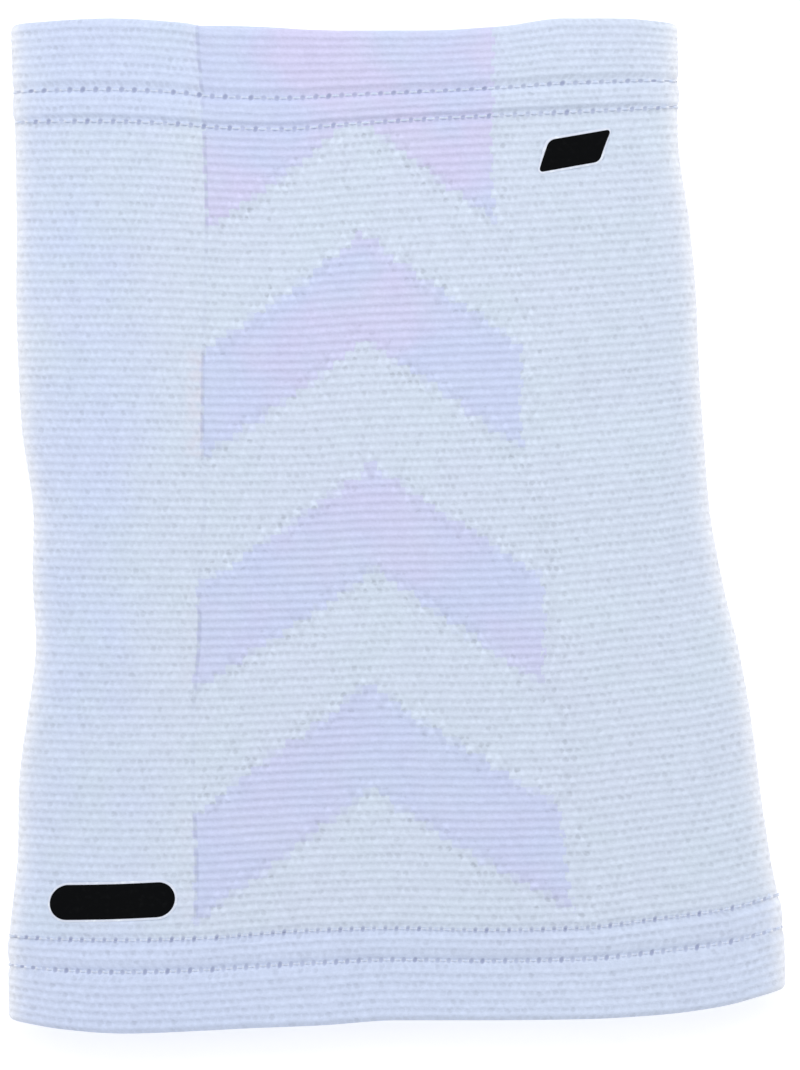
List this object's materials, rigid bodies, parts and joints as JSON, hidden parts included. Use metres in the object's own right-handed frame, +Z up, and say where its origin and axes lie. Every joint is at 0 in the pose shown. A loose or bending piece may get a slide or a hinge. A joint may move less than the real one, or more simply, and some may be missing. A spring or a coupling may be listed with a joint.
{
  "type": "knitted volleyball knee sleeve",
  "caption": "Tapered knitted tube for a knee, lying flat, with turned hems at both mouths and raised chevrons down its front.",
  "frame": {"origin": "under the middle of the sleeve as it lies flat, on the surface that it rests on", "axes": "+Z up out of the front wall, +Y from the wide thigh mouth to the narrow calf mouth, +X to the right seen from above"},
  "size_m": [0.1922, 0.252, 0.014],
  "materials": {
    "sleeve_knit": "matt compression knit in pale periwinkle blue, with chevrons in a closer lavender stitch",
    "hem_knit": "matt ribbed knit, turned in and stitched",
    "black_transfer": "satin black heat transfer"
  },
  "bodies": {
    "root": {"sleeve_body": "sleeve_knit", "thigh_hem": "hem_knit", "calf_hem": "hem_knit", "pill_label": "black_transfer", "slanted_label": "black_transfer"}
  },
  "joints": []
}
